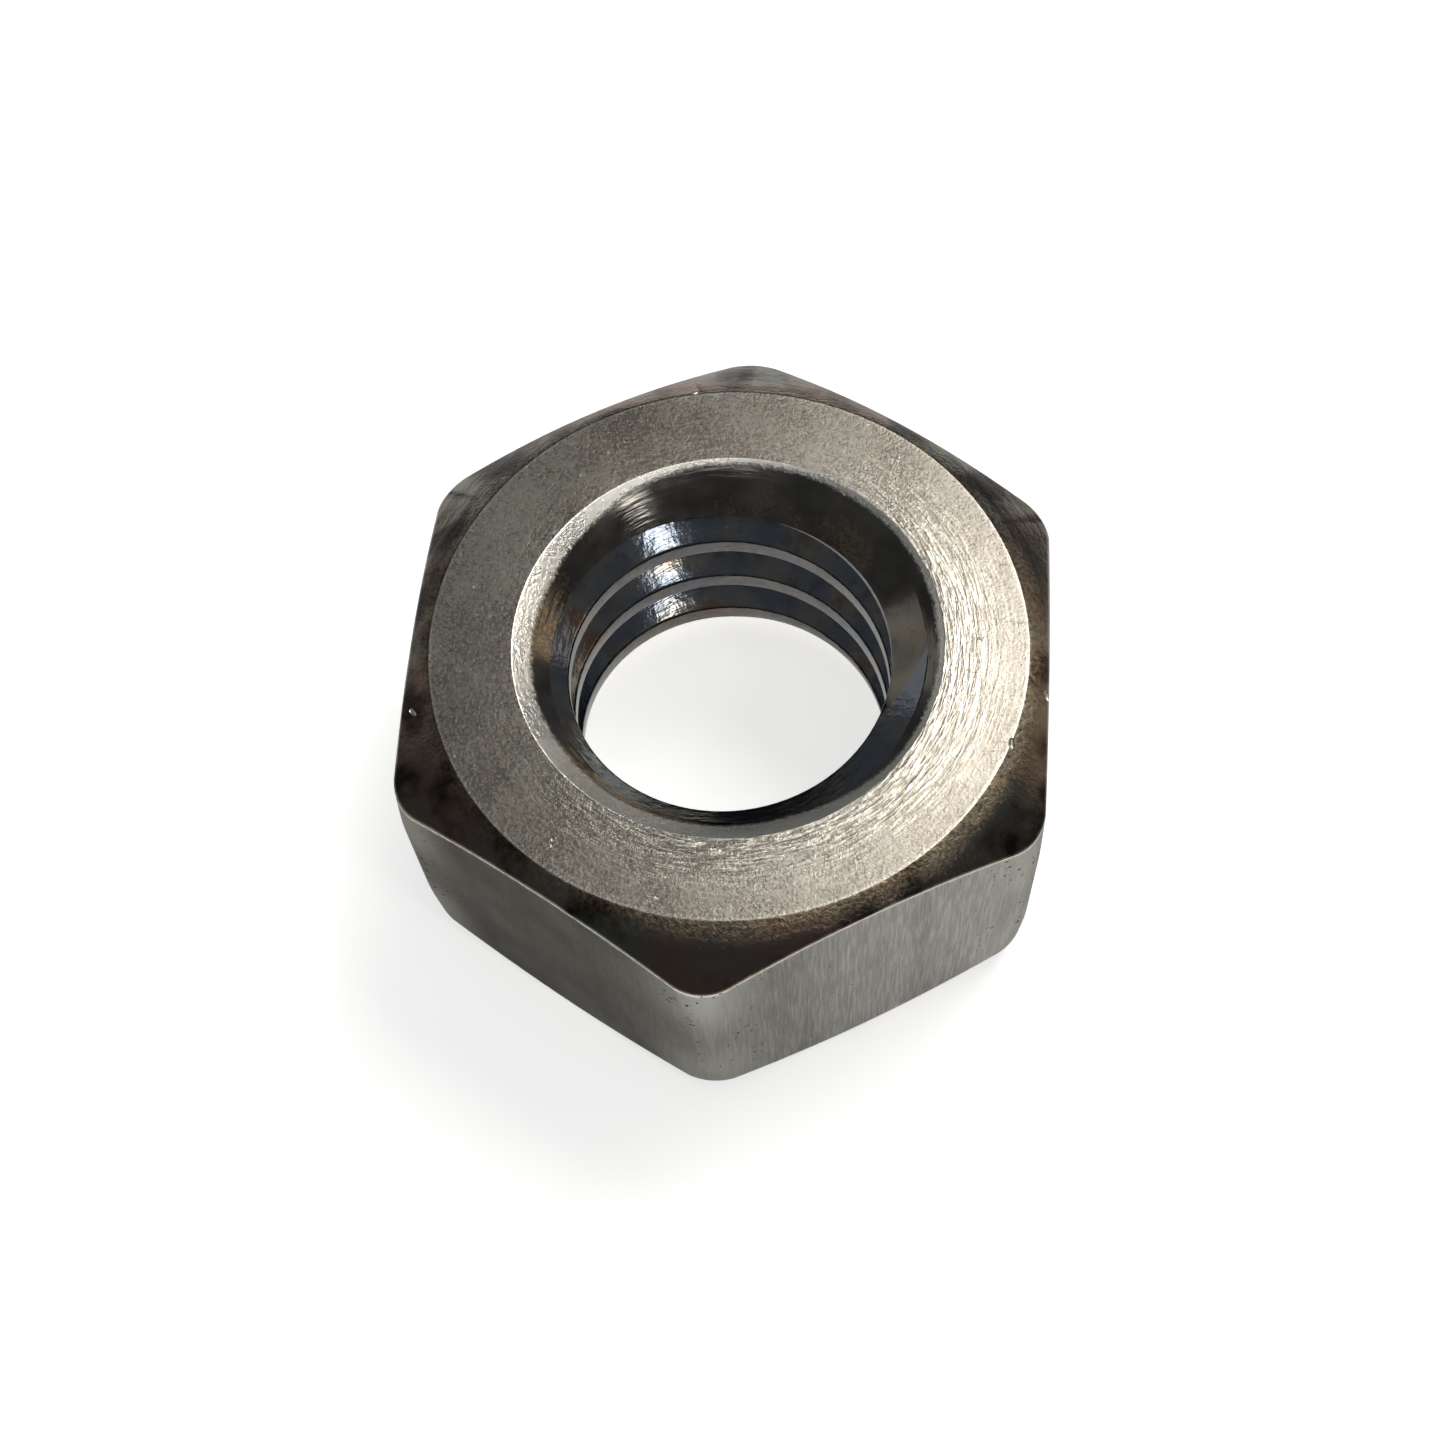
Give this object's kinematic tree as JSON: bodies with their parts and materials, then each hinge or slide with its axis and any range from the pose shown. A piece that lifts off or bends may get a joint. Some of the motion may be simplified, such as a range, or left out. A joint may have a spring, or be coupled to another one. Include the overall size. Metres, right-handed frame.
{
  "type": "hex nut",
  "caption": "Double-chamfered hex nut, countersunk on both faces, with a right-hand internal thread through it.",
  "frame": {"origin": "on the thread axis, in the plane of the lower bearing face", "axes": "+Z along the thread axis, +X square to one flat, so corners lie on +Y and -Y"},
  "size_m": [0.0128, 0.0144, 0.0067],
  "materials": {
    "stainless_steel": "turned faces, drawn flats"
  },
  "bodies": {
    "root": {"hex_nut": "stainless_steel"}
  },
  "joints": []
}
